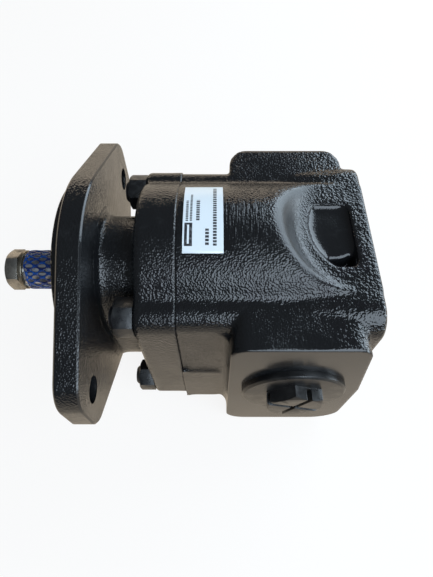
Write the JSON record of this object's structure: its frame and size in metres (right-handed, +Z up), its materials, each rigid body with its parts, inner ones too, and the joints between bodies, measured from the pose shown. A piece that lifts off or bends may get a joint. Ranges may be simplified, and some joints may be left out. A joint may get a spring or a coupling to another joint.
{
  "type": "hydraulic pump",
  "caption": "Flange-mounted hydraulic gear pump in black painted cast iron, with a splined drive shaft and a capped inlet and outlet port on its sides.",
  "frame": {"origin": "on the shaft axis, in the mounting face of the flange", "axes": "+X from the mounting face to the rear of the pump, +Y towards the outlet port, +Z up towards the label"},
  "size_m": [0.2041, 0.176, 0.15],
  "materials": {
    "painted_casting": "black gloss enamel over a cast surface",
    "painted_fastener": "black enamel over machined steel",
    "hardened_steel": "ground steel",
    "zinc_plate": "dull zinc plate",
    "bearing_block_alloy": "machined",
    "bush_metal": "lined bearing bronze",
    "seal_rubber": "matte",
    "plug_plastic": "satin moulded plastic",
    "blue_net": "extruded plastic net",
    "label_film": "glossy white film"
  },
  "bodies": {
    "casing": {"mounting_cap": "painted_casting", "pump_body": "painted_casting", "front_bearing_block": "bearing_block_alloy", "rear_bearing_block": "bearing_block_alloy", "drive_front_bush": "bush_metal", "drive_rear_bush": "bush_metal", "driven_front_bush": "bush_metal", "driven_rear_bush": "bush_metal", "front_pressure_seal": "seal_rubber", "rear_pressure_seal": "seal_rubber", "casing_seal": "seal_rubber", "shaft_lip_seal": "seal_rubber", "seal_retaining_ring": "hardened_steel", "dowel_pin_1": "hardened_steel", "dowel_pin_2": "hardened_steel", "cap_stud_1": "painted_fastener", "cap_stud_2": "painted_fastener", "cap_stud_3": "painted_fastener", "cap_stud_4": "painted_fastener", "stud_nut_1": "painted_fastener", "stud_nut_2": "painted_fastener", "stud_nut_3": "painted_fastener", "stud_nut_4": "painted_fastener", "rating_label": "label_film"},
    "drive_shaft": {"drive_gear_shaft": "hardened_steel", "shaft_end_bolt": "zinc_plate", "shaft_end_washer": "zinc_plate", "shaft_net": "blue_net"},
    "driven_gear": {"driven_gear": "hardened_steel"},
    "inlet_plug": {"inlet_port_plug": "plug_plastic", "inlet_plug_o_ring": "seal_rubber"},
    "outlet_plug": {"outlet_port_plug": "plug_plastic", "outlet_plug_o_ring": "seal_rubber"}
  },
  "joints": [
    {"name": "drive_shaft_spin", "type": "hinge", "parent": "casing", "child": "drive_shaft", "pos_m": [0, 0, 0], "axis": [1, 0, 0], "continuous": true},
    {"name": "driven_gear_spin", "type": "hinge", "parent": "casing", "child": "driven_gear", "pos_m": [0, 0, -0.0468], "axis": [1, 0, 0], "continuous": true},
    {"name": "inlet_plug_slide", "type": "slide", "parent": "casing", "child": "inlet_plug", "axis": [0, -1, 0], "range_m": [0, 0.02]},
    {"name": "outlet_plug_slide", "type": "slide", "parent": "casing", "child": "outlet_plug", "axis": [0, 1, 0], "range_m": [0, 0.02]}
  ],
  "couplings": [
    {"joint": "driven_gear_spin", "follows": "drive_shaft_spin", "ratio": -1}
  ]
}
